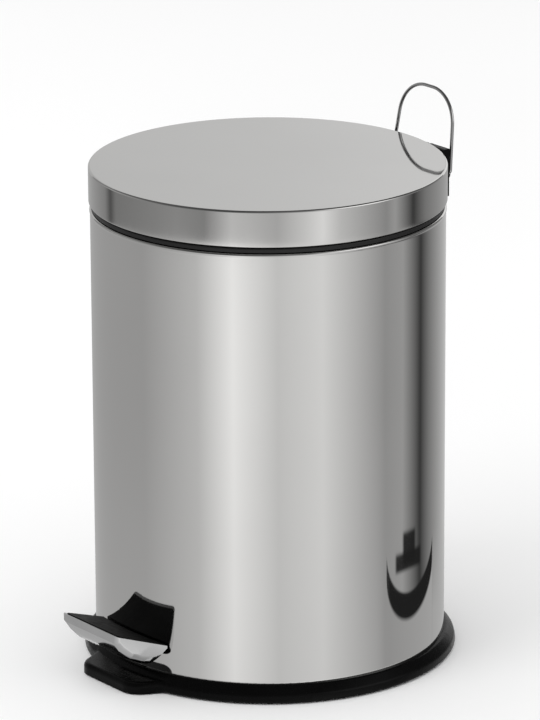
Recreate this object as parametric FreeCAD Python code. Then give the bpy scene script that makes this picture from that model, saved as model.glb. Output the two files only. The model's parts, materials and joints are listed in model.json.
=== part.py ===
import FreeCAD, Part
import math
import os

# Round pedal bin: a steel shell on a plastic base, a hinged steel lid opened by a foot pedal through a lever
# and a push rod, a lift-out inner bucket and a wire carrying handle at the back.
# Millimetres. Origin on the floor at the shell's centre line, +Z up, pedal towards -Y, hinge towards +Y.

# shell
shell_radius = 101.5
shell_wall = 0.7
shell_bottom_z = 9.7
shell_height = 253.8
bead_radius = 1.2
bead_proud = 0.35
bead_gap = 0.05

# base
base_proud = 6.9
base_lip = 0.5
base_side_height = 4.8
base_side_round = 3.2
base_shoulder = 1.8
base_fit = 0.1
base_under_z = 0.6
base_spigot = 5.3
base_spigot_wall = 1.7
base_ledge_width = 9.0
base_ledge_z = 3.2
base_ledge_thickness = 2.3
base_edge_round = 0.4
toe_proud = 18.3
toe_half_width = 24.5
toe_neck_width = 7.0
toe_root_width = 19.5
toe_neck_behind_rim = 4.0
toe_root_behind_rim = 18.0
toe_height = 6.6
toe_edge_radius = 3.0
toe_corner_radius = 13.0
toe_neck_radius = 8.0
tread_ring_inset = 4.4
tread_ring_width = 3.0
tread_ring_thickness = 1.8
tread_ring_round = 0.3
plate_thickness = 1.0
floor_screw_radius = 1.5
floor_screw_head = 3.0
floor_screw_head_height = 1.7
floor_screw_angles = (45, 135, 225, 315)

# lid
lid_overhang = 0.8
lid_wall = 0.7
lid_depth = 20.9
lid_gap = 3.9
lid_edge_radius = 1.2
hem_thickness = 1.7
hem_height = 1.8
lid_angle = 80.0

# hinge and rear bracket
hinge_behind_lid = 4.0
hinge_below_lid_top = 7.3
barrel_radius = 3.3
hinge_pin_radius = 1.5
hinge_pin_inset = 1.5
running_clearance = 0.06
knuckle_half_width = 13.4
knuckle_gap = 0.6
leaf_reach = 28.0
leaf_thickness = 3.0
leaf_neck_rise = 4.0
bracket_half_width = 30.2
bracket_drop = 7.5
bracket_front = 2.3
bracket_edge_round = 0.6
bracket_window_below_axis = 8.5
backing_wall = 1.0
backing_margin = 7.0
backing_below = 2.0
bracket_screw_x = 9.0
bracket_screw_radius = 1.5
bracket_screw_head = 2.9
bracket_screw_head_height = 1.8
bracket_screw_rise = 3.1
screw_beyond_nut = 0.4
nut_radius = 2.7
nut_thickness = 2.0

# carrying handle
bail_wire_radius = 1.0
bail_half_width = 26.4
bail_top_inset = 4.2
bail_height = 46.4
bail_shoulder_radius = 20.6
bail_lean = 7.4
bail_behind_hinge = 6.9
bail_below_hinge = 13.0
bail_bore_clearance = 0.08
bail_bend_radius = 1.9
bail_lug_gap = 0.35
bail_lug_width = 7.8
bail_lug_back = 2.6
bail_lug_below = 8.0
bail_foot = 8.0

# opening linkage
lug_reach = 11.7
lug_slot_gap = 0.75
lug_margin = 2.0
lug_inner_x = 3.0
lug_thickness = 3.0
travel_factor = 1.14
rod_radius = 1.5
rod_bend_radius = 2.6
rod_overhang = 2.6
lever_pivot_behind_wall = 62.5
lever_pivot_z = 24.0
lever_half_width = 9.0
lever_sheet = 1.7
lever_flange_sheet = 1.6
lever_flange_top = 3.4
lever_flange_inside_wall = 9.5
lever_web_drop = 3.6
lever_tail = 3.3
lever_pin_radius = 2.0
lever_ear_gap = 0.9
lever_ear_sheet = 1.6
ear_foot_half_width = 9.0
ear_top_half_width = 6.0
ear_rise = 5.5
foot_half_depth = 11.0
foot_margin = 4.8
bracket_rivet_radius = 1.2
bracket_rivet_head = 2.1
bracket_rivet_inset = 2.5
slot_side_gap = 1.5
slot_end_gap = 1.6
slot_corner = 1.0
clip_thickness = 0.9
clip_ring = 1.4
clip_gap = 0.5
pin_overhang = 0.8
guide_half_width = 6.0
guide_half_height = 4.0
guide_front = 3.6
lower_guide_rise = 60.3
upper_guide_drop = 31.5

# pedal
pad_front_half_width = 26.3
pad_flare = 0.127
pad_reach = 26.4
pad_front_z = 38.4
pad_slope = 0.353
pad_thickness = 2.6
pad_edge_radius = 0.5
pad_corner_radius = 3.0
rim_width = 2.5
rim_side_width = 0.5
rim_below_pad = 0.5
pan_thickness = 1.3
pedal_sheet = 1.2
pedal_corner_radius = 4.0
pedal_wall_gap = 1.2
pedal_side_space = 60.0
lip_height = 4.6
belly_depth = 14.4
belly_in_front_of_wall = 7.0
belly_rise_to_wall = 8.5
belly_front_round = 4.0
belly_back_round = 6.5
belly_shape = ((0.0, 0.0), (0.2, 0.36), (0.45, 0.68), (0.75, 0.9), (1.0, 1.0))
pedal_rivet_radius = 1.6
pedal_rivet_head = 2.8
pedal_rivet_head_height = 1.0
pedal_rivet_x = 4.6
pedal_rivet_behind_front = 13.9
tongue_behind_front = 6.5

# inner bucket
bucket_seat_gap = 0.3
bucket_flange_thickness = 2.8
bucket_flange_inset = 0.5
bucket_inside_shell = 12.6
bucket_taper = 8.8
bucket_floor_z = 40.0
bucket_wall = 1.6
bucket_floor_thickness = 2.0
bucket_foot_round = 5.0
bucket_notch_half_width = 18.0
bucket_notch_gap = 0.8
handle_wire_radius = 1.2
handle_below_rim = 2.8
handle_inside_bucket = 8.4
handle_front_inside_bucket = 12.9
handle_end_outside = 2.6
handle_knee_share = 0.47
handle_knee_outside_grip = 15.0
handle_bends = (0, 3, 45, 40, 40, 45, 3, 0)
handle_grip_length = 38.0
handle_grip_radius = 3.0
handle_grip_round = 0.8
bumper_angles = (30.0, 150.0, 270.0)
bumper_gap = 0.4
bumper_height = 4.0
bumper_thickness = 2.4
bumper_half_width = 5.0

# worked-out heights and places
shell_top_z = shell_bottom_z + shell_height
shell_inner = shell_radius - shell_wall
base_radius = shell_radius + base_proud
toe_reach = shell_radius + toe_proud
tread_ring_radius = base_radius - tread_ring_inset
lid_radius = shell_radius + lid_overhang
skirt_z = shell_top_z + lid_gap
lid_top_z = skirt_z + lid_depth
lid_under_z = lid_top_z - lid_wall
hinge_y = lid_radius + hinge_behind_lid
hinge_z = lid_top_z - hinge_below_lid_top
bracket_back_y = hinge_y + barrel_radius
rod_y = hinge_y - lug_reach
lid_turn = math.radians(lid_angle)
rod_travel = travel_factor * lug_reach * lid_turn
rod_top_z = hinge_z - rod_travel / 2
lever_pivot_y = lever_pivot_behind_wall - shell_radius
lever_flange_front = lever_flange_inside_wall - shell_radius
rear_run = rod_y - lever_pivot_y
lever_tilt = math.atan(rod_travel / 2 / rear_run)
rod_bottom_z = lever_pivot_z - rod_travel / 2
lever_pin = (lever_pivot_y, lever_pivot_z)
plate_top_z = base_ledge_z + plate_thickness
bracket_bottom_z = shell_top_z - bracket_drop
bail_y = hinge_y + bail_behind_hinge
bail_z = hinge_z - bail_below_hinge
guide_heights = (shell_bottom_z + lower_guide_rise, shell_top_z - upper_guide_drop)
pad_front = shell_radius + pad_reach
pedal_rivet_y = pedal_rivet_behind_front - pad_front
belly_y = -shell_radius - belly_in_front_of_wall
bucket_top_radius = shell_radius - bucket_inside_shell
bucket_floor_radius = bucket_top_radius - bucket_taper
handle_side = bucket_top_radius - handle_inside_bucket
handle_front = bucket_top_radius - handle_front_inside_bucket
flange_z = shell_top_z + bucket_seat_gap
rim_z = flange_z + bucket_flange_thickness
handle_z = flange_z - handle_below_rim
far = 400.0


def vec(x, y, z):
    return FreeCAD.Vector(x, y, z)


def cylinder(radius, start, end):
    run = end.sub(start)
    return Part.makeCylinder(radius, run.Length, start, run)


def across(radius, y, z, x0, x1):
    return cylinder(radius, vec(x0, y, z), vec(x1, y, z))


def block(x0, x1, y0, y1, z0, z1):
    return Part.makeBox(x1 - x0, y1 - y0, z1 - z0, vec(x0, y0, z0))


def rounded_path(points, radii, closed=False):
    """Straight runs through the points, joined by tangent arcs of the given radii."""
    count = len(points)
    starts = []
    ends = []
    arcs = []
    for i in range(count):
        here = points[i]
        inner = closed or 0 < i < count - 1
        if not inner or radii[i] <= 0:
            starts.append(here)
            ends.append(here)
            arcs.append(None)
            continue
        back = points[i - 1].sub(here).normalize()
        ahead = points[(i + 1) % count].sub(here).normalize()
        half = back.getAngle(ahead) / 2
        run = radii[i] / math.tan(half)
        centre_way = back.add(ahead).normalize()
        to_middle = radii[i] / math.sin(half) - radii[i]
        first = here.add(vec(back.x, back.y, back.z).multiply(run))
        last = here.add(vec(ahead.x, ahead.y, ahead.z).multiply(run))
        middle = here.add(centre_way.multiply(to_middle))
        starts.append(first)
        ends.append(last)
        arcs.append(Part.Arc(first, middle, last).toShape())
    edges = []
    for i in range(count):
        if arcs[i] is not None:
            edges.append(arcs[i])
        if i == count - 1 and not closed:
            break
        leave = ends[i]
        reach = starts[(i + 1) % count]
        if leave.distanceToPoint(reach) > 0.001:
            edges.append(Part.makeLine(leave, reach))
    return Part.Wire(edges)


def revolved(outline):
    """A solid of revolution about Z. The outline holds (radius, height, corner radius)."""
    points = [vec(r, 0, z) for r, z, corner in outline]
    face = Part.Face(rounded_path(points, [corner for r, z, corner in outline], True))
    return face.revolve(vec(0, 0, 0), vec(0, 0, 1), 360)


def side_plate(outline, x0, x1):
    """A plate across X. The outline holds (y, z, corner radius)."""
    points = [vec(x0, y, z) for y, z, corner in outline]
    face = Part.Face(rounded_path(points, [corner for y, z, corner in outline], True))
    return face.extrude(vec(x1 - x0, 0, 0))


def plan_plate(outline, z0, z1):
    """An upright block from a plan outline of (x, y, corner radius)."""
    points = [vec(x, y, z0) for x, y, corner in outline]
    face = Part.Face(rounded_path(points, [corner for x, y, corner in outline], True))
    return face.extrude(vec(0, 0, z1 - z0))


def wire_form(points, radii, radius):
    """Round wire bent along a path."""
    path = rounded_path(points, radii)
    start = points[0]
    way = points[1].sub(start)
    section = Part.Wire(Part.makeCircle(radius, start, way))
    return path.makePipeShell([section], True, True)


def capsule(y0, z0, y1, z1, radius, x0, x1):
    """A plate across X with two round ends."""
    run_y = y1 - y0
    run_z = z1 - z0
    length = math.hypot(run_y, run_z)
    off_y = -run_z / length * radius
    off_z = run_y / length * radius
    corners = [
        (y0 + off_y, z0 + off_z, 0),
        (y1 + off_y, z1 + off_z, 0),
        (y1 - off_y, z1 - off_z, 0),
        (y0 - off_y, z0 - off_z, 0),
    ]
    middle = side_plate(corners, x0, x1)
    return middle.fuse([across(radius, y0, z0, x0, x1), across(radius, y1, z1, x0, x1)]).removeSplitter()


def screw(head_radius, head_height, shank_radius, seat, tip):
    """A pan-head screw whose head stands on the seat and whose shank ends at the tip."""
    way = seat.sub(tip).normalize()
    head_top = seat.add(vec(way.x, way.y, way.z).multiply(head_height))
    head = cylinder(head_radius, seat, head_top)
    rim = []
    for edge in head.Edges:
        if edge.CenterOfMass.distanceToPoint(head_top) < 0.01 and edge.Length > 1:
            rim.append(edge)
    head = head.makeFillet(head_height * 0.6, rim)
    return head.fuse(cylinder(shank_radius, tip, seat)).removeSplitter()


def ring(outer, inner, x0, x1, y, z):
    return across(outer, y, z, x0, x1).cut(across(inner, y, z, x0, x1))


def pad_top(y):
    """Height of the tread's plane at y."""
    return pad_front_z - pad_slope * (y + pad_front)


def tread_slab(top_drop, bottom_drop):
    """The slab between two planes parallel to the tread, given by how far each lies under it."""
    y0 = -pad_front - 20
    y1 = -shell_radius + 30
    outline = [
        (y0, pad_top(y0) - top_drop, 0),
        (y1, pad_top(y1) - top_drop, 0),
        (y1, pad_top(y1) - bottom_drop, 0),
        (y0, pad_top(y0) - bottom_drop, 0),
    ]
    return side_plate(outline, -pedal_side_space, pedal_side_space)


def pedal_plan(side_margin, front_margin, corner):
    """Plan of the tread, grown by margins, up to a gap in front of the round shell."""
    back_y = -shell_radius + 25
    front = pad_front_half_width + side_margin
    back = front + pad_flare * (back_y + pad_front)
    outline = [
        (-front, -pad_front - front_margin, corner),
        (front, -pad_front - front_margin, corner),
        (back, back_y, 0),
        (-back, back_y, 0),
    ]
    body = plan_plate(outline, 0, 60)
    return body.cut(Part.makeCylinder(shell_radius + pedal_wall_gap, 80, vec(0, 0, -5)))


def lever_web_z(y):
    """Middle height of the lever's flat web at y, up to the bend in front of the shell."""
    return lever_pivot_z - lever_web_drop - (y - lever_pivot_y) * math.tan(lever_tilt)


def body_shell():
    inner = shell_inner
    wall = Part.makeCylinder(shell_radius, shell_height - bead_radius, vec(0, 0, shell_bottom_z))
    wall = wall.cut(Part.makeCylinder(inner, shell_height, vec(0, 0, shell_bottom_z)))
    bead_centre = shell_radius + bead_proud - bead_radius
    bead = Part.makeTorus(bead_centre, bead_radius, vec(0, 0, shell_top_z - bead_radius))
    shell = wall.fuse(bead)
    high = lever_web_z(-shell_radius) + lever_sheet / 2 + slot_end_gap
    swing = (shell_radius + lever_pivot_y) * 2 * math.tan(lever_tilt)
    low = lever_web_z(-shell_radius) - lever_sheet / 2 - swing - slot_end_gap
    half = lever_half_width + slot_side_gap
    slot_outline = [
        (-half, low, slot_corner),
        (half, low, slot_corner),
        (half, high, slot_corner),
        (-half, high, slot_corner),
    ]
    points = [vec(x, -shell_radius - 5, z) for x, z, corner in slot_outline]
    face = Part.Face(rounded_path(points, [corner for x, z, corner in slot_outline], True))
    shell = shell.cut(face.extrude(vec(0, 20, 0)))
    for x in (-bracket_screw_x, bracket_screw_x):
        z = bracket_bottom_z + bracket_screw_rise
        shell = shell.cut(cylinder(bracket_screw_radius, vec(x, shell_radius / 2, z), vec(x, far, z)))
    return shell.removeSplitter()


def base_ring():
    spigot_outer = shell_inner - base_fit
    spigot_inner = spigot_outer - base_spigot_wall
    seat = shell_radius + base_fit
    top = shell_bottom_z + base_lip
    ledge_inner = spigot_inner - base_ledge_width
    outline = [
        (ledge_inner, base_ledge_z - base_ledge_thickness, base_edge_round),
        (spigot_inner, base_ledge_z - base_ledge_thickness, 0),
        (spigot_inner, base_under_z, 0),
        (base_radius, base_under_z, 1.4),
        (base_radius - 1.0, base_under_z + base_side_height, base_side_round),
        (seat + base_shoulder, top, 1.6),
        (seat, top, 0),
        (seat, shell_bottom_z, 0),
        (spigot_outer, shell_bottom_z, 0),
        (spigot_outer, shell_bottom_z + base_spigot, base_edge_round),
        (spigot_inner, shell_bottom_z + base_spigot, base_edge_round),
        (spigot_inner, base_ledge_z, 0),
        (ledge_inner, base_ledge_z, base_edge_round),
    ]
    body = revolved(outline)
    root_y = toe_root_behind_rim - base_radius
    neck_y = toe_neck_behind_rim - base_radius
    toe_outline = [
        (-toe_half_width - toe_root_width, root_y, 0),
        (-toe_half_width - toe_neck_width, neck_y, toe_neck_radius),
        (-toe_half_width, -toe_reach, toe_corner_radius),
        (toe_half_width, -toe_reach, toe_corner_radius),
        (toe_half_width + toe_neck_width, neck_y, toe_neck_radius),
        (toe_half_width + toe_root_width, root_y, 0),
    ]
    toe_top = base_under_z + toe_height
    toe = plan_plate(toe_outline, base_under_z, toe_top)
    edges = []
    for edge in toe.Edges:
        box = edge.BoundBox
        at_top = box.ZMin > toe_top - 0.01
        if at_top and box.YMin < root_y - 1:
            edges.append(edge)
    toe = toe.makeFillet(toe_edge_radius, edges)
    toe = toe.cut(Part.makeCylinder(spigot_inner, 60, vec(0, 0, -5)))
    body = body.fuse(toe)
    high = shell_bottom_z + base_spigot + 1
    half = lever_half_width + slot_side_gap + 3
    body = body.cut(block(-half, half, -seat, -ledge_inner, shell_bottom_z, high))
    groove = tread_ring_width / 2
    channel = Part.makeCylinder(tread_ring_radius + groove, tread_ring_thickness, vec(0, 0, 0))
    channel = channel.cut(Part.makeCylinder(tread_ring_radius - groove, tread_ring_thickness, vec(0, 0, 0)))
    body = body.cut(channel)
    for x, y in floor_screw_places():
        body = body.cut(cylinder(floor_screw_radius, vec(x, y, -5), vec(x, y, base_ledge_z + 1)))
    return body.removeSplitter()


def floor_screw_places():
    radius = shell_inner - base_fit - base_spigot_wall - base_ledge_width / 2
    places = []
    for angle in floor_screw_angles:
        turn = math.radians(angle)
        places.append((radius * math.cos(turn), radius * math.sin(turn)))
    return places


def anti_slip_ring():
    half = tread_ring_width / 2
    inner = tread_ring_radius - half
    outer = tread_ring_radius + half
    outline = [
        (inner, 0, tread_ring_round),
        (outer, 0, tread_ring_round),
        (outer, tread_ring_thickness, 0),
        (inner, tread_ring_thickness, 0),
    ]
    return revolved(outline)


def bottom_plate():
    radius = shell_inner - base_fit - base_spigot_wall - base_fit
    plate = Part.makeCylinder(radius, plate_thickness, vec(0, 0, base_ledge_z))
    for x, y in floor_screw_places():
        plate = plate.cut(cylinder(floor_screw_radius, vec(x, y, 0), vec(x, y, 20)))
    for x, y in bracket_rivet_places():
        plate = plate.cut(cylinder(bracket_rivet_radius, vec(x, y, 0), vec(x, y, 20)))
    return plate


def floor_screws():
    solids = []
    low = base_ledge_z - base_ledge_thickness
    for x, y in floor_screw_places():
        seat = vec(x, y, plate_top_z)
        tip = vec(x, y, low)
        solids.append(screw(floor_screw_head, floor_screw_head_height, floor_screw_radius, seat, tip))
    return Part.makeCompound(solids)


def bracket_rivet_places():
    x = lever_half_width + lever_ear_gap + lever_ear_sheet + foot_margin - bracket_rivet_inset
    return [(-x, lever_pivot_y), (x, lever_pivot_y)]


def lever_bracket():
    inner = lever_half_width + lever_ear_gap
    outer = inner + lever_ear_sheet
    foot_top = plate_top_z + lever_ear_sheet
    reach = outer + foot_margin
    y0 = lever_pivot_y - foot_half_depth
    y1 = lever_pivot_y + foot_half_depth
    bracket = block(-reach, reach, y0, y1, plate_top_z, foot_top)
    for x0 in (-outer, inner):
        outline = [
            (lever_pivot_y - ear_foot_half_width, plate_top_z, 0),
            (lever_pivot_y + ear_foot_half_width, plate_top_z, 0),
            (lever_pivot_y + ear_top_half_width, lever_pivot_z + ear_rise, 5),
            (lever_pivot_y - ear_top_half_width, lever_pivot_z + ear_rise, 5),
        ]
        bracket = bracket.fuse(side_plate(outline, x0, x0 + lever_ear_sheet))
    bracket = bracket.cut(across(lever_pin_radius, lever_pivot_y, lever_pivot_z, -outer - 5, outer + 5))
    for x, y in bracket_rivet_places():
        bracket = bracket.cut(cylinder(bracket_rivet_radius, vec(x, y, 0), vec(x, y, 20)))
    return bracket.removeSplitter()


def bracket_rivets():
    solids = []
    for x, y in bracket_rivet_places():
        seat = vec(x, y, plate_top_z + lever_ear_sheet)
        tip = vec(x, y, base_ledge_z)
        solids.append(screw(bracket_rivet_head, bracket_rivet_radius, bracket_rivet_radius, seat, tip))
    return Part.makeCompound(solids)


def lever_pivot_pin():
    reach = lever_half_width + lever_ear_gap + lever_ear_sheet + clip_thickness + pin_overhang
    return across(lever_pin_radius, lever_pivot_y, lever_pivot_z, -reach, reach)


def pivot_clips():
    inner = lever_half_width + lever_ear_gap + lever_ear_sheet
    solids = []
    for x0 in (-inner - clip_thickness, inner):
        outer = lever_pin_radius + clip_ring
        solids.append(ring(outer, lever_pin_radius, x0, x0 + clip_thickness, lever_pivot_y, lever_pivot_z))
    return Part.makeCompound(solids)


def rod_guides():
    solids = []
    for height in guide_heights:
        low = height - guide_half_height
        high = height + guide_half_height
        body = block(-guide_half_width, guide_half_width, rod_y - guide_front, shell_radius, low, high)
        body = body.common(Part.makeCylinder(shell_inner, high - low, vec(0, 0, low)))
        bore = rod_radius + running_clearance
        solids.append(body.cut(cylinder(bore, vec(0, rod_y, low - 1), vec(0, rod_y, high + 1))))
    return Part.makeCompound(solids)


def rear_bracket():
    front_y = hinge_y - bracket_front
    half = bracket_half_width
    plan = [
        (-half, front_y, 0),
        (-half, bracket_back_y, bracket_edge_round),
        (half, bracket_back_y, bracket_edge_round),
        (half, front_y, 0),
    ]
    body = plan_plate(plan, bracket_bottom_z, hinge_z)
    saddle = [
        (-half, shell_radius - 12, 0),
        (-half, bracket_back_y, bracket_edge_round),
        (half, bracket_back_y, bracket_edge_round),
        (half, shell_radius - 12, 0),
    ]
    saddle_top = shell_top_z - base_fit
    body = body.fuse(plan_plate(saddle, bracket_bottom_z, saddle_top))
    body = body.cut(Part.makeCylinder(shell_radius, far, vec(0, 0, 0)))
    bead_clear = shell_radius + bead_proud + bead_gap
    body = body.cut(Part.makeCylinder(bead_clear, far, vec(0, 0, shell_top_z - 2 * bead_radius - 0.2)))
    head_top = hinge_z + barrel_radius
    head = [
        (hinge_y, hinge_z, 0),
        (hinge_y, head_top, 0),
        (bracket_back_y, head_top, bracket_edge_round),
        (bracket_back_y, hinge_z, 0),
    ]
    body = body.fuse([across(barrel_radius, hinge_y, hinge_z, -half, half), side_plate(head, -half, half)])
    window = knuckle_half_width + knuckle_gap
    window_z = hinge_z - bracket_window_below_axis
    body = body.cut(block(-window, window, front_y - 10, bracket_back_y + 10, window_z, lid_top_z + 5))
    outer = bail_half_width - bail_bend_radius - bail_lug_gap
    lug_outline = [
        (hinge_y, hinge_z, 0),
        (bail_y + bail_lug_back, bail_z + 2.0, 2.4),
        (bail_y + bail_lug_back - 0.8, bail_z - 3.0, 2.2),
        (hinge_y, bail_z - bail_lug_below, 0),
    ]
    for side in (-1, 1):
        x0 = min(side * outer, side * (outer - bail_lug_width))
        body = body.fuse(side_plate(lug_outline, x0, x0 + bail_lug_width))
    pin_reach = half - hinge_pin_inset
    body = body.cut(across(hinge_pin_radius, hinge_y, hinge_z, -pin_reach, pin_reach))
    bore = bail_wire_radius + bail_bore_clearance
    for side in (-1, 1):
        deep = bail_half_width - bail_foot - 0.4
        body = body.cut(across(bore, bail_y, bail_z, side * deep, side * (outer + 1)))
    for x in (-bracket_screw_x, bracket_screw_x):
        z = bracket_bottom_z + bracket_screw_rise
        body = body.cut(cylinder(bracket_screw_radius, vec(x, shell_radius / 2, z), vec(x, far, z)))
    return body.removeSplitter()


def backing_plate():
    outer = shell_inner
    z0 = bracket_bottom_z - backing_below
    z1 = shell_top_z - 2 * bead_radius - 0.3
    plate = Part.makeCylinder(outer, z1 - z0, vec(0, 0, z0))
    plate = plate.cut(Part.makeCylinder(outer - backing_wall, z1 - z0, vec(0, 0, z0)))
    half = bracket_screw_x + backing_margin
    plate = plate.common(block(-half, half, outer / 2, outer + 5, z0, z1))
    for x in (-bracket_screw_x, bracket_screw_x):
        z = bracket_bottom_z + bracket_screw_rise
        plate = plate.cut(cylinder(bracket_screw_radius, vec(x, outer / 2, z), vec(x, far, z)))
    return plate


def bracket_nut_face_y():
    """Where a flat nut first meets the curved backing plate."""
    reach = bracket_screw_x + nut_radius
    return math.sqrt((shell_inner - backing_wall) ** 2 - reach ** 2)


def bracket_screws():
    solids = []
    z = bracket_bottom_z + bracket_screw_rise
    tip_y = bracket_nut_face_y() - nut_thickness - screw_beyond_nut
    for x in (-bracket_screw_x, bracket_screw_x):
        seat = vec(x, bracket_back_y, z)
        tip = vec(x, tip_y, z)
        solids.append(screw(bracket_screw_head, bracket_screw_head_height, bracket_screw_radius, seat, tip))
    return Part.makeCompound(solids)


def bracket_nuts():
    solids = []
    z = bracket_bottom_z + bracket_screw_rise
    face_y = bracket_nut_face_y()
    for x in (-bracket_screw_x, bracket_screw_x):
        points = []
        for i in range(6):
            turn = math.radians(60 * i)
            points.append(vec(x + nut_radius * math.cos(turn), face_y, z + nut_radius * math.sin(turn)))
        points.append(points[0])
        nut = Part.Face(Part.makePolygon(points)).extrude(vec(0, -nut_thickness, 0))
        solids.append(nut.cut(cylinder(bracket_screw_radius, vec(x, 0, z), vec(x, far, z))))
    return Part.makeCompound(solids)


def hinge_pin():
    reach = bracket_half_width - hinge_pin_inset
    return across(hinge_pin_radius, hinge_y, hinge_z, -reach, reach)


def lid_shell():
    hem_inner = lid_radius - hem_thickness
    outline = [
        (0, lid_top_z, 0),
        (lid_radius, lid_top_z, lid_edge_radius),
        (lid_radius, skirt_z, 0.5),
        (hem_inner, skirt_z, 0.5),
        (hem_inner, skirt_z + hem_height, 0.4),
        (lid_radius - lid_wall, skirt_z + hem_height, 0),
        (lid_radius - lid_wall, lid_under_z, lid_edge_radius - lid_wall),
        (0, lid_under_z, 0),
    ]
    shell = revolved(outline)
    half = knuckle_half_width + knuckle_gap + 0.2
    notch_top = hinge_z + leaf_neck_rise + 0.4
    return shell.cut(block(-half, half, lid_radius - 12, lid_radius + 5, skirt_z - 5, notch_top))


def lid_hinge_leaf():
    half = knuckle_half_width
    neck_top = hinge_z + leaf_neck_rise
    outline = [
        (lid_radius - leaf_reach, lid_under_z - leaf_thickness, 0),
        (lid_radius - leaf_reach, lid_under_z, 0),
        (lid_radius - 4.8, lid_under_z, 0),
        (lid_radius - 2.8, neck_top, 0),
        (hinge_y + 2.6, neck_top, 2.2),
        (hinge_y + 2.6, hinge_z, 0),
        (hinge_y - barrel_radius, hinge_z, 0),
        (hinge_y - barrel_radius - 1.5, lid_under_z - leaf_thickness, 0),
    ]
    leaf = side_plate(outline, -half, half)
    leaf = leaf.fuse(across(barrel_radius, hinge_y, hinge_z, -half, half))
    half_turn = lid_turn / 2
    near = lug_reach - 0.3
    outermost = math.hypot(lug_reach, rod_travel / 2) + 0.3
    way_y = -math.cos(half_turn)
    way_z = -math.sin(half_turn)
    slot_half = rod_radius + lug_slot_gap
    x0 = lug_inner_x
    x1 = lug_inner_x + lug_thickness
    tip_y = hinge_y + way_y * outermost
    tip_z = hinge_z + way_z * outermost
    lug = capsule(hinge_y, hinge_z, tip_y, tip_z, slot_half + lug_margin, x0, x1)
    leaf = leaf.fuse(lug)
    near_y = hinge_y + way_y * near
    near_z = hinge_z + way_z * near
    leaf = leaf.cut(capsule(near_y, near_z, tip_y, tip_z, slot_half, x0 - 1, x1 + 1))
    bore = hinge_pin_radius + running_clearance
    leaf = leaf.cut(across(bore, hinge_y, hinge_z, -half - 1, half + 1))
    return leaf.removeSplitter()


def lid_bumpers():
    outer = lid_radius - hem_thickness
    z0 = rim_z + bumper_gap
    band = Part.makeCylinder(outer, bumper_height, vec(0, 0, z0))
    band = band.cut(Part.makeCylinder(outer - bumper_thickness, bumper_height, vec(0, 0, z0)))
    solids = []
    half = bumper_half_width
    for angle in bumper_angles:
        sector = block(outer - 10, outer + 5, -half, half, z0, z0 + bumper_height)
        sector.rotate(vec(0, 0, 0), vec(0, 0, 1), angle)
        solids.append(band.common(sector))
    return Part.makeCompound(solids)


def bail_point(across_x, along):
    """A point in the handle's leaning plane."""
    lean = math.radians(bail_lean)
    return vec(across_x, bail_y + along * math.sin(lean), bail_z + along * math.cos(lean))


def bail_handle():
    top_x = bail_half_width - bail_top_inset
    foot_x = bail_half_width - bail_foot
    points = [
        bail_point(-foot_x, 0),
        bail_point(-bail_half_width, 0),
        bail_point(-top_x, bail_height),
        bail_point(top_x, bail_height),
        bail_point(bail_half_width, 0),
        bail_point(foot_x, 0),
    ]
    radii = [0, bail_bend_radius, bail_shoulder_radius, bail_shoulder_radius, bail_bend_radius, 0]
    return wire_form(points, radii, bail_wire_radius)


def push_rod():
    points = [
        vec(lug_inner_x + lug_thickness + rod_overhang, rod_y, rod_top_z),
        vec(0, rod_y, rod_top_z),
        vec(0, rod_y, rod_bottom_z),
        vec(lever_half_width + rod_overhang, rod_y, rod_bottom_z),
    ]
    return wire_form(points, [0, rod_bend_radius, rod_bend_radius, 0], rod_radius)


def rod_clips():
    solids = []
    outer = rod_radius + clip_ring
    for x0, z in ((lug_inner_x + lug_thickness, rod_top_z), (lever_half_width, rod_bottom_z)):
        start = x0 + clip_gap
        solids.append(ring(outer, rod_radius, start, start + clip_thickness, rod_y, z))
    return Part.makeCompound(solids)


def pedal_lever():
    tail_y = rod_y + lever_tail
    bend_y = -shell_radius - 0.2
    half = lever_sheet / 2
    tongue_drop = pad_thickness + pan_thickness
    tip_y = tongue_behind_front - pad_front
    web = [
        (tail_y, lever_web_z(tail_y) - half, 0),
        (tail_y, lever_web_z(tail_y) + half, 0),
        (bend_y, pad_top(bend_y) - tongue_drop, 0),
        (tip_y, pad_top(tip_y) - tongue_drop, 0),
        (tip_y, pad_top(tip_y) - tongue_drop - lever_sheet, 0),
        (bend_y, pad_top(bend_y) - tongue_drop - lever_sheet, 0),
    ]
    lever = side_plate(web, -lever_half_width, lever_half_width)
    lift = lever_web_drop + lever_flange_top
    flange = [
        (tail_y, lever_web_z(tail_y) - half, 0),
        (tail_y, lever_web_z(tail_y) + lift, 3),
        (lever_flange_front + 8, lever_web_z(lever_flange_front + 8) + lift, 6),
        (lever_flange_front, lever_web_z(lever_flange_front) + half, 0),
        (lever_flange_front, lever_web_z(lever_flange_front) - half, 0),
    ]
    for x0 in (-lever_half_width, lever_half_width - lever_flange_sheet):
        lever = lever.fuse(side_plate(flange, x0, x0 + lever_flange_sheet))
    bore = lever_pin_radius + running_clearance
    lever = lever.cut(across(bore, lever_pivot_y, lever_pivot_z, -20, 20))
    slot_half = rod_radius + running_clearance
    drift = rear_run * (1 / math.cos(lever_tilt) - 1) + 0.2
    slot = capsule(rod_y - drift, rod_bottom_z, rod_y + drift, rod_bottom_z, slot_half, -20, 20)
    lever = lever.cut(slot)
    for hole in pedal_rivet_lines():
        lever = lever.cut(hole)
    return lever.removeSplitter()


def tread_normal():
    """Unit vector square to the tread, upwards."""
    length = math.hypot(1, pad_slope)
    return vec(0, pad_slope / length, 1 / length)


def below_tread(x, y, depth):
    """The point square under the tread's place (x, y), by a depth."""
    way = tread_normal()
    return vec(x, y, pad_top(y)).sub(way.multiply(depth))


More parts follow.
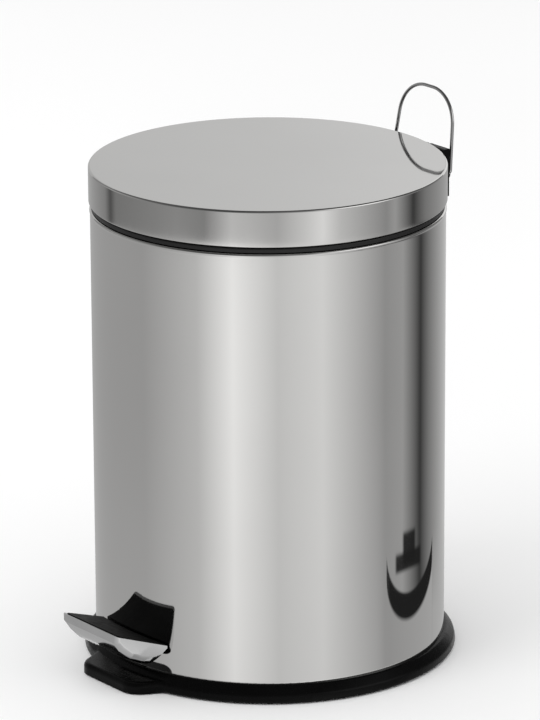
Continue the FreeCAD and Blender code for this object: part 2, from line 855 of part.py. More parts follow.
def pedal_rivet_lines():
    """Rivet shanks at right angles to the tread, from under the lever to the pan's top."""
    solids = []
    length = math.hypot(1, pad_slope)
    upper = pad_thickness / length
    lower = (pad_thickness + pan_thickness + lever_sheet) / length
    for x in (-pedal_rivet_x, pedal_rivet_x):
        low = below_tread(x, pedal_rivet_y, lower)
        top = below_tread(x, pedal_rivet_y, upper)
        solids.append(cylinder(pedal_rivet_radius, low, top))
    return solids


def pedal_rivets():
    length = math.hypot(1, pad_slope)
    lower = (pad_thickness + pan_thickness + lever_sheet) / length
    solids = []
    for shank, x in zip(pedal_rivet_lines(), (-pedal_rivet_x, pedal_rivet_x)):
        seat = below_tread(x, pedal_rivet_y, lower)
        under = below_tread(x, pedal_rivet_y, lower + pedal_rivet_head_height)
        head = cylinder(pedal_rivet_head, under, seat)
        solids.append(head.fuse(shank).removeSplitter())
    return Part.makeCompound(solids)


def belly_section(y, low, inset, corner):
    """Front view of the pedal's bowl at y, drawn in from its outside by an inset."""
    half = pad_front_half_width + rim_side_width - inset + pad_flare * (y + pad_front)
    points = [vec(-half, y, low), vec(half, y, low), vec(half, y, 80), vec(-half, y, 80)]
    return rounded_path(points, [corner - inset, corner - inset, 0, 0], True)


def belly(inset):
    """The pedal's bowl as a solid, with round edges between its floor and its sides."""
    front_y = -pad_front - rim_width
    front_z = pad_top(front_y) - rim_below_pad - lip_height
    run = belly_y - front_y
    drop = front_z - pad_top(belly_y) + belly_depth
    places = [(front_y + share * run, front_z - part * drop) for share, part in belly_shape]
    slope = (places[1][1] - places[0][1]) / (places[1][0] - places[0][0])
    places.insert(0, (front_y - rim_width, front_z - slope * rim_width))
    places.append((-shell_radius + 10, places[-1][1]))
    sections = []
    for i, (y, low) in enumerate(places):
        before = places[max(i - 1, 0)]
        after = places[min(i + 1, len(places) - 1)]
        fall = (after[1] - before[1]) / (after[0] - before[0])
        share = i / (len(places) - 1)
        corner = belly_front_round + (belly_back_round - belly_front_round) * share
        sections.append(belly_section(y, low + inset * math.hypot(1, fall), inset, corner))
    return Part.makeLoft(sections, True, True)


def pedal_frame():
    front_y = -pad_front - rim_width
    wall_y = -shell_radius + 3
    deep_z = pad_top(belly_y) - belly_depth
    profile = [
        (front_y - 5, pad_top(front_y - 5) - rim_below_pad, 0),
        (front_y - 5, deep_z - 3, 0),
        (belly_y - 1.5, deep_z - 3, 0),
        (belly_y, deep_z, 2),
        (wall_y, deep_z + belly_rise_to_wall, 0),
        (wall_y + 20, deep_z + 14, 0),
        (wall_y + 20, pad_top(wall_y + 20) - rim_below_pad, 0),
    ]
    side = pedal_side_space
    frame = pedal_plan(rim_side_width, rim_width, pedal_corner_radius)
    frame = frame.common(side_plate(profile, -side, side))
    frame = frame.common(belly(0))
    pocket = pedal_plan(0, 0, pad_corner_radius).common(tread_slab(-10, pad_thickness))
    frame = frame.cut(pocket)
    inner_corner = pedal_corner_radius - pedal_sheet
    hollow = pedal_plan(rim_side_width - pedal_sheet, rim_width - pedal_sheet, inner_corner)
    back_open = block(-side, side, -shell_radius - pedal_wall_gap - 2, 0, 0, side)
    back_open = back_open.common(pedal_sides_inside())
    hollow = hollow.fuse(back_open)
    hollow = hollow.common(tread_slab(pad_thickness + pan_thickness, side))
    hollow = hollow.common(belly(pedal_sheet))
    frame = frame.cut(hollow)
    for hole in pedal_rivet_lines():
        frame = frame.cut(hole)
    return frame.removeSplitter()


def pedal_sides_inside():
    """The space between the pedal's two cheeks, running on to the back."""
    back_y = -shell_radius + 25
    front = pad_front_half_width + rim_side_width - pedal_sheet
    back = front + pad_flare * (back_y + pad_front)
    outline = [
        (-front, -pad_front, 0),
        (front, -pad_front, 0),
        (back, back_y, 0),
        (-back, back_y, 0),
    ]
    return plan_plate(outline, 0, 60)


def pedal_pad():
    pad = pedal_plan(0, 0, pad_corner_radius).common(tread_slab(0, pad_thickness))
    top_edges = []
    for edge in pad.Edges:
        ends = [vertex.Point for vertex in edge.Vertexes]
        if all(abs(point.z - pad_top(point.y)) < 0.01 for point in ends):
            top_edges.append(edge)
    return pad.makeFillet(pad_edge_radius, top_edges)


def bucket_radius(z):
    """The bucket's outer radius at height z."""
    share = (z - bucket_floor_z) / (flange_z - bucket_floor_z)
    return bucket_floor_radius + (bucket_top_radius - bucket_floor_radius) * share


def inner_bucket():
    inner_floor = bucket_floor_z + bucket_floor_thickness
    outline = [
        (0, bucket_floor_z, 0),
        (bucket_floor_radius, bucket_floor_z, bucket_foot_round),
        (bucket_top_radius, flange_z, 0.6),
        (shell_radius - bucket_flange_inset, flange_z, 0.5),
        (shell_radius - bucket_flange_inset, rim_z, 0.9),
        (bucket_radius(rim_z) - bucket_wall, rim_z, 0.8),
        (bucket_floor_radius - bucket_wall, inner_floor, 4),
        (0, inner_floor, 0),
    ]
    bucket = revolved(outline)
    half = bucket_notch_half_width
    notch_y = bucket_top_radius + bucket_notch_gap
    bucket = bucket.cut(block(-half, half, notch_y, shell_radius + 5, flange_z - 1, rim_z + 1))
    hole = handle_wire_radius + bail_bore_clearance
    return bucket.cut(across(hole, 0, handle_z, -far, far))


def handle_points():
    end_x = bucket_top_radius + handle_end_outside
    knee_y = -handle_side * handle_knee_share
    knee_x = handle_grip_length / 2 + handle_knee_outside_grip
    return [
        vec(-end_x, 0, handle_z),
        vec(-handle_side, 0, handle_z),
        vec(-handle_side, knee_y, handle_z),
        vec(-knee_x, -handle_front, handle_z),
        vec(knee_x, -handle_front, handle_z),
        vec(handle_side, knee_y, handle_z),
        vec(handle_side, 0, handle_z),
        vec(end_x, 0, handle_z),
    ]


def bucket_handle():
    return wire_form(handle_points(), handle_bends, handle_wire_radius)


def bucket_handle_grip():
    half = handle_grip_length / 2
    grip = across(handle_grip_radius, -handle_front, handle_z, -half, half)
    grip = grip.makeFillet(handle_grip_round, [edge for edge in grip.Edges if len(edge.Vertexes) == 1])
    return grip.cut(across(handle_wire_radius, -handle_front, handle_z, -half - 1, half + 1))


nodes = {
    "body_shell": body_shell,
    "base_ring": base_ring,
    "anti_slip_ring": anti_slip_ring,
    "bottom_plate": bottom_plate,
    "floor_screws": floor_screws,
    "lever_bracket": lever_bracket,
    "lever_bracket_rivets": bracket_rivets,
    "lever_pivot_pin": lever_pivot_pin,
    "pivot_clips": pivot_clips,
    "rod_guides": rod_guides,
    "rear_bracket": rear_bracket,
    "backing_plate": backing_plate,
    "bracket_screws": bracket_screws,
    "bracket_nuts": bracket_nuts,
    "hinge_pin": hinge_pin,
    "lid_shell": lid_shell,
    "lid_hinge_leaf": lid_hinge_leaf,
    "lid_bumpers": lid_bumpers,
    "bail_handle": bail_handle,
    "push_rod": push_rod,
    "rod_clips": rod_clips,
    "pedal_lever": pedal_lever,
    "pedal_rivets": pedal_rivets,
    "pedal_frame": pedal_frame,
    "pedal_pad": pedal_pad,
    "inner_bucket": inner_bucket,
    "bucket_handle": bucket_handle,
    "bucket_handle_grip": bucket_handle_grip,
}

os.makedirs("parts", exist_ok=True)
for name, make in nodes.items():
    shape = make()
    shape.exportStep(os.path.join("parts", name + ".step"))
    print(name, "solids", len(shape.Solids), "valid", shape.isValid(), "volume", round(shape.Volume, 1))

print("lid hinge at y", round(hinge_y, 3), "z", round(hinge_z, 3), "opens", lid_angle, "degrees")
print("rod at y", round(rod_y, 3), "travel", round(rod_travel, 4))
print("rod travel per radian of lid", round(rod_travel / lid_turn, 5))
print("lever pivot", lever_pin, "turn", round(math.degrees(lever_tilt) * 2, 4), "degrees")
print("handle pivot y", round(bail_y, 3), "z", round(bail_z, 3))
print("bucket handle z", round(handle_z, 3))
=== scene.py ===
import bmesh
import bpy
import json
import math
from mathutils import Matrix, Vector


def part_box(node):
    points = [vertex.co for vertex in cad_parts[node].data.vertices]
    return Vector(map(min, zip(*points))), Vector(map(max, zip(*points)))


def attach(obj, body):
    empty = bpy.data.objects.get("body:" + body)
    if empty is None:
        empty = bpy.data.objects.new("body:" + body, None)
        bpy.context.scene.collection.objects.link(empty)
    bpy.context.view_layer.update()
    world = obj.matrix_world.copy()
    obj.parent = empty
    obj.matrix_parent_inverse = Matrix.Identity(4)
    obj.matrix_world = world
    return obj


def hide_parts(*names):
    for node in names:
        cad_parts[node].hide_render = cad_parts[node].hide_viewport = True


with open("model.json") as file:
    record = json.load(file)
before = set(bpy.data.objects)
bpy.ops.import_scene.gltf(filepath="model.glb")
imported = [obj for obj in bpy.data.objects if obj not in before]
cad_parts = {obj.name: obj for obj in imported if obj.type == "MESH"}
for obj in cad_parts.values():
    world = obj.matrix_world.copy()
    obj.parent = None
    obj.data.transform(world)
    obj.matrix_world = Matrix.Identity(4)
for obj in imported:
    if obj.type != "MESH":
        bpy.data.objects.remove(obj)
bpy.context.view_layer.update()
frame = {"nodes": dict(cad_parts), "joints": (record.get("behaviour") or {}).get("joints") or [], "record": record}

scene = bpy.context.scene
scene.view_settings.view_transform = "Standard"
mm = 0.001
jointAt = {joint["name"]: joint for joint in frame["joints"]}

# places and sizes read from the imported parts, in metres
shellLow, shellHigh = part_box("body_shell")
lidLow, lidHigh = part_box("lid_shell")
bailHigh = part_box("bail_handle")[1]
rodLow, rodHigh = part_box("push_rod")
hingeAt = Vector(jointAt["lid_hinge"]["pos_m"])
bailAt = Vector(jointAt["bail_pivot"]["pos_m"])
handleAt = Vector(jointAt["bucket_handle_pivot"]["pos_m"])


# A socket that can be used in a Python expression.
class Value:
    def __init__(self, kit, socket):
        self.kit = kit
        self.socket = socket

    def maths(self, operation, *others):
        return self.kit.node("ShaderNodeMath", {"operation": operation}, *others)

    def __add__(self, other):
        return self.maths("ADD", self, other)

    def __radd__(self, other):
        return self.maths("ADD", other, self)

    def __sub__(self, other):
        return self.maths("SUBTRACT", self, other)

    def __rsub__(self, other):
        return self.maths("SUBTRACT", other, self)

    def __mul__(self, other):
        return self.maths("MULTIPLY", self, other)

    def __rmul__(self, other):
        return self.maths("MULTIPLY", other, self)

    def __truediv__(self, other):
        return self.maths("DIVIDE", self, other)


# One material and the nodes in it.
class Finish:
    def __init__(self, name, emission=False):
        self.material = bpy.data.materials.new(name)
        self.material.use_nodes = True
        self.tree = self.material.node_tree
        self.tree.nodes.clear()
        output = self.tree.nodes.new("ShaderNodeOutputMaterial")
        self.shader = self.tree.nodes.new("ShaderNodeEmission" if emission else "ShaderNodeBsdfPrincipled")
        self.tree.links.new(self.shader.outputs[0], output.inputs["Surface"])

    def put(self, socket, value):
        if isinstance(value, Value):
            self.tree.links.new(value.socket, socket)
        elif value is not None:
            socket.default_value = value

    def node(self, kind, settings=None, *inputs, out=0, **named):
        made = self.tree.nodes.new(kind)
        for key, setting in (settings or {}).items():
            if key == "stops":
                ramp = made.color_ramp
                while len(ramp.elements) < len(setting):
                    ramp.elements.new(0.5)
                for element, (place, shade) in zip(ramp.elements, setting):
                    element.position = place
                    element.color = (shade, shade, shade, 1)
            else:
                setattr(made, key, setting)
        for i, value in enumerate(inputs):
            self.put(made.inputs[i], value)
        for key, value in named.items():
            self.put(made.inputs[key], value)
        return Value(self, made.outputs[out])

    def place(self, scale=(1, 1, 1)):
        spot = self.node("ShaderNodeTexCoord", out=3)
        return self.node("ShaderNodeMapping", {}, spot, Scale=scale)

    def noise(self, scale, detail=3.0, stretch=(1, 1, 1), roughness=0.5):
        named = {"Vector": self.place(stretch), "Scale": scale, "Detail": detail, "Roughness": roughness}
        return self.node("ShaderNodeTexNoise", {}, **named)

    def ramp(self, value, *stops):
        return self.node("ShaderNodeValToRGB", {"stops": stops}, value)

    def mixColour(self, factor, first, second):
        made = self.tree.nodes.new("ShaderNodeMix")
        made.data_type = "RGBA"
        self.put(made.inputs[0], factor)
        self.put(made.inputs[6], first)
        self.put(made.inputs[7], second)
        return Value(self, made.outputs[2])

    def bump(self, height, strength, distance, under=None):
        named = {"Height": height, "Strength": strength, "Distance": distance}
        if under is not None:
            named["Normal"] = under
        return self.node("ShaderNodeBump", {}, **named)

    def set(self, **named):
        for key, value in named.items():
            self.put(self.shader.inputs[key.replace("_", " ")], value)
        return self.material


def split(finish, spot):
    made = finish.tree.nodes.new("ShaderNodeSeparateXYZ")
    finish.put(made.inputs[0], spot)
    return [Value(finish, made.outputs[i]) for i in range(3)]


def axes(finish):
    return split(finish, finish.node("ShaderNodeTexCoord", out=3))


smoothStep = {"interpolation_type": "SMOOTHSTEP"}
steelLook = {"shade": 0.64, "roughness": 0.035, "smudge": 0.035, "ripple": 0.00003}


def polishedSteel():
    finish = Finish("polishedSteel")
    x, y, z = axes(finish)
    cloud = finish.noise(9, 4)
    wipes = finish.noise(26, 5, stretch=(1, 1, 0.25), roughness=0.6)
    low, high = steelLook["shade"] - 0.012, steelLook["shade"] + 0.012
    patch = finish.ramp(cloud, (0.3, 0.0), (0.7, 1.0))
    tone = finish.mixColour(patch, (low, low * 0.992, low * 0.975, 1), (high, high * 0.992, high * 0.975, 1))
    smears = finish.node("ShaderNodeMapRange", {}, wipes, 0.45, 0.8, 0.0, steelLook["smudge"])
    fine = finish.noise(900, 2, stretch=(1, 1, 0.05))
    rough = smears + fine * 0.02 + (steelLook["roughness"] - 0.01)
    # the shell's upright weld at the back, a line a third of a millimetre wide
    besideSeam = finish.node("ShaderNodeMath", {"operation": "ABSOLUTE"}, x)
    seam = finish.node("ShaderNodeMapRange", smoothStep, besideSeam, 0.0001, 0.0005, 1.0, 0.0)
    atBack = finish.node("ShaderNodeMath", {"operation": "GREATER_THAN"}, y, 0.09)
    belowRim = finish.node("ShaderNodeMath", {"operation": "LESS_THAN"}, z, shellHigh.z - 0.003)
    seam = seam * atBack * belowRim
    ripple = finish.noise(14, 1, stretch=(1, 1, 0.6))
    waves = finish.bump(ripple, 1.0, steelLook["ripple"])
    normal = finish.bump(1 - seam, 0.6, 0.0001, waves)
    tint = finish.mixColour(seam * 0.35, tone, (0.4, 0.4, 0.41, 1))
    return finish.set(Base_Color=tint, Metallic=1.0, Roughness=rough, Normal=normal)


def chromePlate(name, shade, roughness):
    finish = Finish(name)
    cloud = finish.noise(60, 4)
    tone = finish.ramp(cloud, (0.3, shade - 0.03), (0.7, shade + 0.02))
    pits = finish.noise(700, 2)
    rough = finish.node("ShaderNodeMapRange", {}, pits, 0.3, 0.8, roughness, roughness + 0.05)
    waves = finish.bump(finish.noise(160, 2), 0.25, 0.00006)
    return finish.set(Base_Color=tone, Metallic=1.0, Roughness=rough, Normal=waves)


def zincPlate():
    finish = Finish("zincPlate")
    cells = finish.node("ShaderNodeTexVoronoi", {}, Vector=finish.place(), Scale=420.0)
    cloud = finish.noise(35, 4)
    tone = finish.mixColour(cloud, (0.50, 0.51, 0.53, 1), (0.64, 0.63, 0.58, 1))
    rough = finish.node("ShaderNodeMapRange", {}, cells, 0.0, 1.0, 0.28, 0.42)
    grain = finish.bump(finish.noise(1400, 2), 0.2, 0.00003)
    return finish.set(Base_Color=tone, Metallic=1.0, Roughness=rough, Normal=grain)


def mouldedPlastic(name, shade, roughness, grain, shine):
    finish = Finish(name)
    cloud = finish.noise(30, 3)
    tone = finish.ramp(cloud, (0.3, shade * 0.8), (0.7, shade * 1.25))
    dust = finish.noise(240, 4, roughness=0.7)
    rough = finish.node("ShaderNodeMapRange", {}, dust, 0.35, 0.75, roughness - 0.04, roughness + 0.08)
    skin = finish.bump(finish.noise(1500, 2), 0.35, grain)
    return finish.set(Base_Color=tone, Roughness=rough, Normal=skin, Specular_IOR_Level=shine)


def treadRubber():
    finish = Finish("treadRubber")
    cloud = finish.noise(45, 4)
    tone = finish.ramp(cloud, (0.3, 0.003), (0.7, 0.006))
    scuffs = finish.noise(320, 5, stretch=(1, 0.4, 1), roughness=0.7)
    rough = finish.node("ShaderNodeMapRange", {}, scuffs, 0.35, 0.75, 0.42, 0.6)
    pores = finish.bump(finish.noise(2200, 2), 0.4, 0.00004)
    return finish.set(Base_Color=tone, Roughness=rough, Normal=pores, Specular_IOR_Level=0.11)


finishes = {
    "polished_steel": polishedSteel(),
    "chromed_steel": chromePlate("chromePlate", 0.58, 0.06),
    "zinc_steel": zincPlate(),
    "black_plastic": mouldedPlastic("blackPlastic", 0.0018, 0.26, 0.00002, 0.09),
    "bucket_plastic": mouldedPlastic("bucketPlastic", 0.009, 0.38, 0.00005, 0.3),
    "black_rubber": treadRubber(),
}
slotOf = {part["node"]: part["material_slot"] for part in frame["record"]["subparts"]}
bodyOf = {node: body for body, names in frame["record"]["behaviour"]["bodies"].items() for node in names}
print("finishes made")


# Turns (across, up, radius) corners into points, with each corner rounded by its radius.
def softened(outline, steps=6):
    points = []
    for i, (across, up, radius) in enumerate(outline):
        here = Vector((across, up))
        if radius <= 0 or i == 0 or i == len(outline) - 1:
            points.append(here)
            continue
        back = (Vector(outline[i - 1][:2]) - here).normalized()
        ahead = (Vector(outline[i + 1][:2]) - here).normalized()
        half = back.angle(ahead) / 2
        centre = here + (back + ahead).normalized() * (radius / math.sin(half))
        first = here + back * (radius / math.tan(half)) - centre
        last = here + ahead * (radius / math.tan(half)) - centre
        turn = first.angle_signed(last)
        for k in range(steps + 1):
            share = turn * k / steps
            spun = Vector((first.x * math.cos(share) + first.y * math.sin(share),
                           first.y * math.cos(share) - first.x * math.sin(share)))
            points.append(centre + spun)
    return points


# Makes the object for a mesh that stands for a CAD node, and gives it its body and the finish of its slot.
def newPiece(name, mesh, node):
    piece = bpy.data.objects.new(name, mesh)
    scene.collection.objects.link(piece)
    mesh.materials.clear()
    mesh.materials.append(finishes[slotOf[node]])
    mesh.polygons.foreach_set("use_smooth", [True] * len(mesh.polygons))
    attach(piece, bodyOf[node])
    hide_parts(node)
    return piece


def ringAt(made, point, columns):
    return [made.verts.new((point.x * math.cos(a), point.x * math.sin(a), point.y)) for a in columns]


# A surface of revolution through (radius, height) points, with one face per column and row.
def turned(profile, columns, skipCell=None):
    mesh = bpy.data.meshes.new("turned")
    made = bmesh.new()
    rings = []
    for point in profile:
        if point.x < 1e-6:
            rings.append([made.verts.new((0, 0, point.y))])
            continue
        rings.append(ringAt(made, point, columns))
    count = len(columns)
    for k in range(len(rings) - 1):
        first, second = rings[k], rings[k + 1]
        high = (profile[k].y + profile[k + 1].y) / 2
        for i in range(count):
            j = (i + 1) % count
            middle = columns[i] + ((columns[j] - columns[i]) % math.tau) / 2
            if skipCell and skipCell(middle, high, min(profile[k].x, profile[k + 1].x)):
                continue
            if len(first) == 1:
                made.faces.new((first[0], second[i], second[j]))
            elif len(second) == 1:
                made.faces.new((first[i], second[0], first[j]))
            else:
                made.faces.new((first[i], second[i], second[j], first[j]))
    loose = [vert for vert in made.verts if not vert.link_faces]
    bmesh.ops.delete(made, geom=loose, context="VERTS")
    bmesh.ops.recalc_face_normals(made, faces=made.faces)
    made.to_mesh(mesh)
    made.free()
    return mesh


def weighNormals(piece):
    piece.modifiers.new("weigh", "WEIGHTED_NORMAL").keep_sharp = True
    return piece


# Gives a surface its sheet thickness, inwards, and breaks its cut edges.
def thickened(piece, wall, edge=0.0):
    solid = piece.modifiers.new("wall", "SOLIDIFY")
    solid.thickness = wall
    solid.offset = -1
    solid.use_even_offset = True
    if edge > 0:
        bevel = piece.modifiers.new("edge", "BEVEL")
        bevel.width = edge
        bevel.segments = 2
        bevel.limit_method = "ANGLE"
        bevel.angle_limit = math.radians(50)
    return weighNormals(piece)


def evenColumns(count, extra=()):
    places = [math.tau * i / count - math.pi for i in range(count)]
    places = [a for a in places if all(abs(a - b) > 0.004 for b in extra)]
    return sorted(places + list(extra))


shell = {"wall": 0.7 * mm, "bead": 1.2 * mm, "beadProud": 0.35 * mm, "columns": 288,
         "slotHalf": 10.5 * mm, "slotLow": 14.16 * mm, "slotHigh": 27.22 * mm}


def makeShell():
    radius = -shellLow.y - shell["beadProud"]
    beadAt = Vector((radius + shell["beadProud"] - shell["bead"], shellHigh.z - shell["bead"]))
    foot = shellLow.z
    rows = [Vector((radius, foot)), Vector((radius, foot + 0.0006))]
    rows += [Vector((radius, shell["slotLow"])), Vector((radius, shell["slotHigh"]))]
    for share in (0.25, 0.5, 0.75, 0.9):
        rows.append(Vector((radius, foot + (shellHigh.z - foot) * share)))
    rows.append(Vector((radius, beadAt.y - shell["bead"] - 0.6 * mm)))
    rows.append(Vector((radius, beadAt.y - shell["bead"] * 0.95)))
    for k in range(19):
        turn = math.radians(-42 + 13.5 * k)
        rows.append(beadAt + shell["bead"] * Vector((math.cos(turn), math.sin(turn))))
    rows.sort(key=lambda point: point.y if point.x == radius and point.y < beadAt.y - shell["bead"] else 1)
    edge = math.asin(shell["slotHalf"] / radius)
    front = -math.pi / 2

    def inSlot(angle, high, inner):
        beside = abs(angle - front) < edge
        return beside and shell["slotLow"] < high < shell["slotHigh"] and inner > radius - 1e-6

    mesh = turned(rows, evenColumns(shell["columns"], (front - edge, front + edge)), inSlot)
    return thickened(newPiece("shellSteel", mesh, "body_shell"), shell["wall"], 0.12 * mm)


lid = {"wall": 0.7 * mm, "edge": 1.2 * mm, "hem": 1.7 * mm, "hemHeight": 1.8 * mm, "columns": 288,
       "notchHalf": 14.2 * mm, "notchAbove": 4.4 * mm, "hemRound": 0.6 * mm, "lipRound": 0.4 * mm}


def makeLid():
    radius = -lidLow.y
    top, bottom, wall = lidHigh.z, lidLow.z, lid["wall"]
    inner = radius - lid["hem"]
    notchTop = hingeAt.z + lid["notchAbove"]
    under = top - wall
    within, hemTop = radius - wall, bottom + lid["hemHeight"]
    outer = softened([(0, top, 0), (radius * 0.5, top, 0),
                      (radius, top, lid["edge"]), (radius, notchTop, 0)], 8)
    hem = softened([(radius, notchTop, 0), (radius, bottom, lid["hemRound"]),
                    (inner, bottom, lid["hemRound"]), (inner, hemTop, lid["lipRound"]),
                    (within, hemTop, 0), (within, notchTop, 0)], 4)
    inside = softened([(within, notchTop, 0), (within, under, lid["edge"] - wall), (0, under, 0)], 6)
    rows = outer + hem[1:] + inside[1:]
    first = len(outer) - 1
    last = first + len(hem) - 1
    edge = math.asin(lid["notchHalf"] / radius)
    columns = evenColumns(lid["columns"], (math.pi / 2 - edge, math.pi / 2 + edge))
    left = min(range(len(columns)), key=lambda i: abs(columns[i] - (math.pi / 2 - edge)))
    right = min(range(len(columns)), key=lambda i: abs(columns[i] - (math.pi / 2 + edge)))
    made = bmesh.new()
    rings = []
    for point in rows:
        if point.x < 1e-6:
            rings.append([made.verts.new((0, 0, point.y))] * len(columns))
        else:
            rings.append(ringAt(made, point, columns))
    for k in range(len(rows) - 1):
        for i in range(len(columns)):
            if first <= k < last and left <= i < right:
                continue
            j = (i + 1) % len(columns)
            corner = [rings[k][i], rings[k][j], rings[k + 1][j], rings[k + 1][i]]
            made.faces.new(list(dict.fromkeys(corner)))
    for i in range(left, right):
        made.faces.new((rings[first][i], rings[first][i + 1], rings[last][i + 1], rings[last][i]))
    for i in (left, right):
        made.faces.new([rings[k][i] for k in range(first, last + 1)])
    loose = [vert for vert in made.verts if not vert.link_faces]
    bmesh.ops.delete(made, geom=loose, context="VERTS")
    bmesh.ops.recalc_face_normals(made, faces=made.faces)
    for line in made.edges:
        line.smooth = line.calc_face_angle(0) < math.radians(40)
    mesh = bpy.data.meshes.new("lidSteel")
    made.to_mesh(mesh)
    made.free()
    piece = newPiece("lidSteel", mesh, "lid_shell")
    return weighNormals(piece)


# A merged, smooth-shaded copy of a CAD node with its sharp edges slightly rounded.
def refined(name, node, edge=0.25 * mm, segments=2, angle=32):
    made = bmesh.new()
    made.from_mesh(frame["nodes"][node].data)
    bmesh.ops.remove_doubles(made, verts=made.verts, dist=2e-6)
    if edge > 0:
        bmesh.ops.dissolve_limit(made, angle_limit=math.radians(0.6), verts=made.verts, edges=made.edges)
    for line in made.edges:
        line.smooth = len(line.link_faces) == 2 and line.calc_face_angle(0) < math.radians(angle)
    mesh = bpy.data.meshes.new(name)
    made.to_mesh(mesh)
    made.free()
    piece = newPiece(name, mesh, node)
    if edge > 0:
        bevel = piece.modifiers.new("edge", "BEVEL")
        bevel.width = edge
        bevel.segments = segments
        bevel.limit_method = "ANGLE"
        bevel.angle_limit = math.radians(angle)
        bevel.use_clamp_overlap = True
        bevel.harden_normals = False
        bevel.loop_slide = False
    return weighNormals(piece)


# Points along straight runs joined by round bends.
def bentPath(points, radii, steps=14):
    path = [points[0]]
    for i in range(1, len(points) - 1):
        here = points[i]
        back = (points[i - 1] - here).normalized()
        ahead = (points[i + 1] - here).normalized()
        half = back.angle(ahead) / 2
        radius = radii[i]
        centre = here + (back + ahead).normalized() * (radius / math.sin(half))
        first = here + back * (radius / math.tan(half)) - centre
        last = here + ahead * (radius / math.tan(half)) - centre
        whole = first.angle(last)
        for k in range(steps + 1):
            share = k / steps
            mixed = first * math.sin((1 - share) * whole) + last * math.sin(share * whole)
            path.append(centre + mixed / math.sin(whole))
    path.append(points[-1])
    return path


# a wire narrows to this share of its radius at each end, over this many radii
wireEnd = {"share": 0.72, "over": 0.3}


# Round wire along a path that lies in a plane, with slightly rounded ends.
def bentWire(name, node, path, radius, sides=20):
    flat = (path[1] - path[0]).cross(path[len(path) // 2] - path[0]).normalized()
    made = bmesh.new()
    rings = []
    count = len(path)
    stations = []
    for i, point in enumerate(path):
        way = (path[min(i + 1, count - 1)] - path[max(i - 1, 0)]).normalized()
        if i == 0:
            stations.append((point, way, wireEnd["share"]))
            stations.append((point + way * radius * wireEnd["over"], way, 1.0))
        elif i == count - 1:
            stations.append((point - way * radius * wireEnd["over"], way, 1.0))
            stations.append((point, way, wireEnd["share"]))
        else:
            stations.append((point, way, 1.0))
    for point, way, share in stations:
        side = flat.cross(way).normalized()
        ring = []
        for k in range(sides):
            turn = math.tau * k / sides
            outwards = flat * math.cos(turn) + side * math.sin(turn)
            ring.append(made.verts.new(point + outwards * radius * share))
        rings.append(ring)
    for first, second in zip(rings, rings[1:]):
        for k in range(sides):
            made.faces.new((first[k], first[(k + 1) % sides], second[(k + 1) % sides], second[k]))
    made.faces.new(rings[0])
    made.faces.new(rings[-1])
    bmesh.ops.recalc_face_normals(made, faces=made.faces)
    mesh = bpy.data.meshes.new(name)
    made.to_mesh(mesh)
    made.free()
    piece = newPiece(name, mesh, node)
    return weighNormals(piece)


bail = {"halfWidth": 26.4 * mm, "foot": 8.0 * mm, "bend": 1.9 * mm, "shoulder": 20.6 * mm,
        "topIn": 4.2 * mm, "lean": math.radians(7.4), "wire": 1.0 * mm}


def makeBail():
    height = (bailHigh.z - bail["wire"] - bailAt.z) / math.cos(bail["lean"])

    def spot(across, along):
        return bailAt + Vector((across, along * math.sin(bail["lean"]), along * math.cos(bail["lean"])))

    wide = bail["halfWidth"]
    footX, topX = wide - bail["foot"], wide - bail["topIn"]
    corner = [spot(-footX, 0), spot(-wide, 0), spot(-topX, height),
              spot(topX, height), spot(wide, 0), spot(footX, 0)]
    path = bentPath(corner, [0, bail["bend"], bail["shoulder"], bail["shoulder"], bail["bend"], 0], 18)
    return bentWire("carryingHandle", "bail_handle", path, bail["wire"])


rod = {"wire": 1.5 * mm, "bend": 2.6 * mm, "upperEnd": 8.6 * mm}


def makeRod():
    y = (rodLow.y + rodHigh.y) / 2
    top, bottom = rodHigh.z - rod["wire"], rodLow.z + rod["wire"]
    corner = [Vector((rod["upperEnd"], y, top)), Vector((0, y, top)),
              Vector((0, y, bottom)), Vector((rodHigh.x, y, bottom))]
    path = bentPath(corner, [0, rod["bend"], rod["bend"], 0], 10)
    return bentWire("pushRodWire", "push_rod", path, rod["wire"])


bucketHandle = {"wire": 1.2 * mm, "side": 80.5 * mm, "front": 76.0 * mm, "kneeShare": 0.47,
                "kneeX": 34.0 * mm, "footBend": 3 * mm, "kneeBend": 45 * mm, "frontBend": 40 * mm}


def makeBucketHandle():
    end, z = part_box("bucket_handle")[1].x, handleAt.z
    side, front = bucketHandle["side"], -bucketHandle["front"]
    kneeY = -side * bucketHandle["kneeShare"]
    foot, knee, bow = bucketHandle["footBend"], bucketHandle["kneeBend"], bucketHandle["frontBend"]
    half = [Vector((end, 0, z)), Vector((side, 0, z)), Vector((side, kneeY, z)),
            Vector((bucketHandle["kneeX"], front, z))]
    mirrored = [Vector((-point.x, point.y, point.z)) for point in reversed(half)]
    path = bentPath(half + mirrored, [0, foot, knee, bow, bow, knee, foot, 0])
    return bentWire("bucketHandleWire", "bucket_handle", path, bucketHandle["wire"])


makeShell()
makeLid()
print("shell and lid made")
makeBail()
makeRod()
makeBucketHandle()
print("wires made")
refined("baseMoulding", "base_ring", 0.0)
refined("rearBracket", "rear_bracket", 0.45 * mm, 3)
refined("hingeLeaf", "lid_hinge_leaf", 0.3 * mm)
refined("pedalFrame", "pedal_frame", 0.3 * mm, 3)
refined("treadPad", "pedal_pad", 0.0)
refined("innerBucket", "inner_bucket", 0.0)
refined("pedalLever", "pedal_lever", 0.2 * mm)
pressings = {"bottom_plate": "floorPlate", "lever_bracket": "leverBracket", "rod_guides": "rodGuides",
             "backing_plate": "backingPlate", "hinge_pin": "hingePin", "lever_pivot_pin": "pivotPin",
             "pivot_clips": "pivotClips", "rod_clips": "rodClips", "bracket_nuts": "bracketNuts",
             "lid_bumpers": "lidBumpers", "bucket_handle_grip": "handleGrip"}
for node, name in pressings.items():
    refined(name, node, 0.15 * mm)
